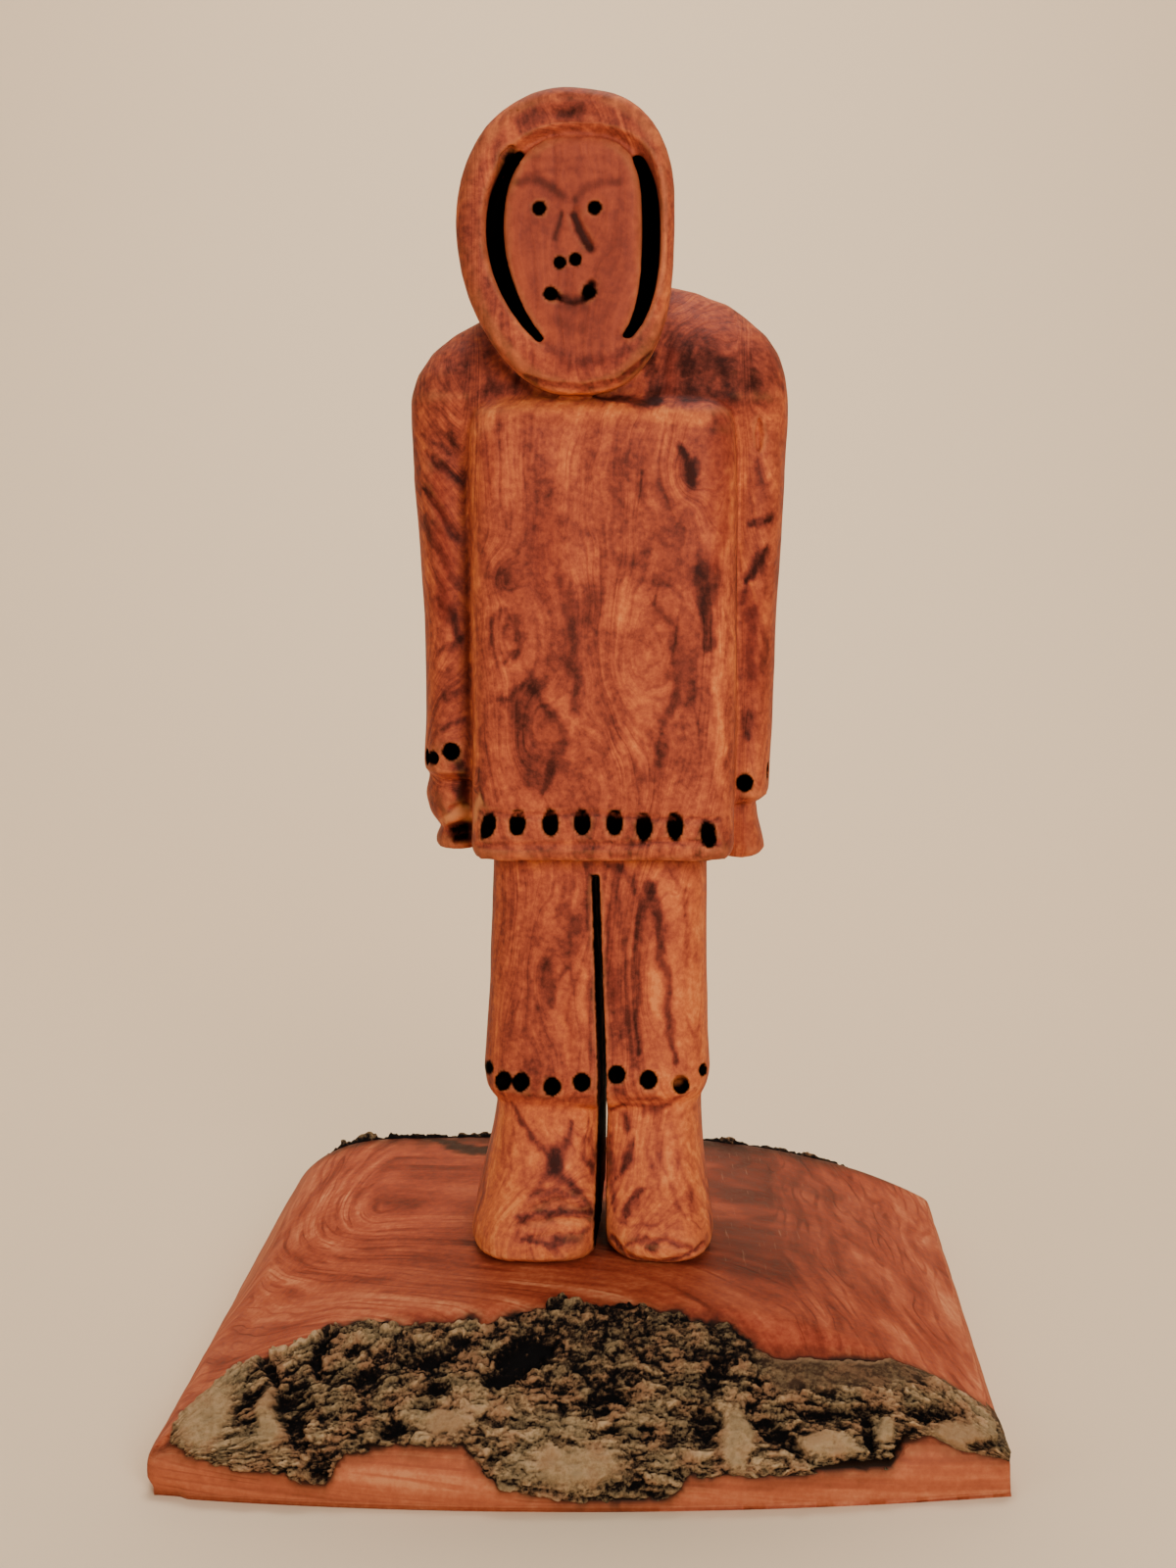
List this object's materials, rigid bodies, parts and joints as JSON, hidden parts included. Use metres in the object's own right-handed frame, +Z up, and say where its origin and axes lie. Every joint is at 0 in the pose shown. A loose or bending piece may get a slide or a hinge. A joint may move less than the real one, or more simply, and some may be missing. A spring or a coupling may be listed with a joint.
{
  "type": "carved wooden parka figure on a live-edge slab",
  "caption": "Carved wooden figure in a hooded parka with drilled trim, standing on a live-edge slab that keeps its bark.",
  "frame": {"origin": "middle of the slab's underside, which is the bottom centre of the whole part's box", "axes": "+Z up along the figure, the figure faces -Y, and +X runs along the slab's log towards the sawn end on the viewer's right"},
  "size_m": [0.1476, 0.141, 0.2283],
  "materials": {
    "figure_wood": "oiled, satin, orange-red with dark brown figure",
    "slab_wood": "oiled, satin, red-brown, with grey-green furrowed bark on its front and back edges"
  },
  "bodies": {
    "root": {"carved_figure": "figure_wood", "base_slab": "slab_wood"}
  },
  "joints": []
}
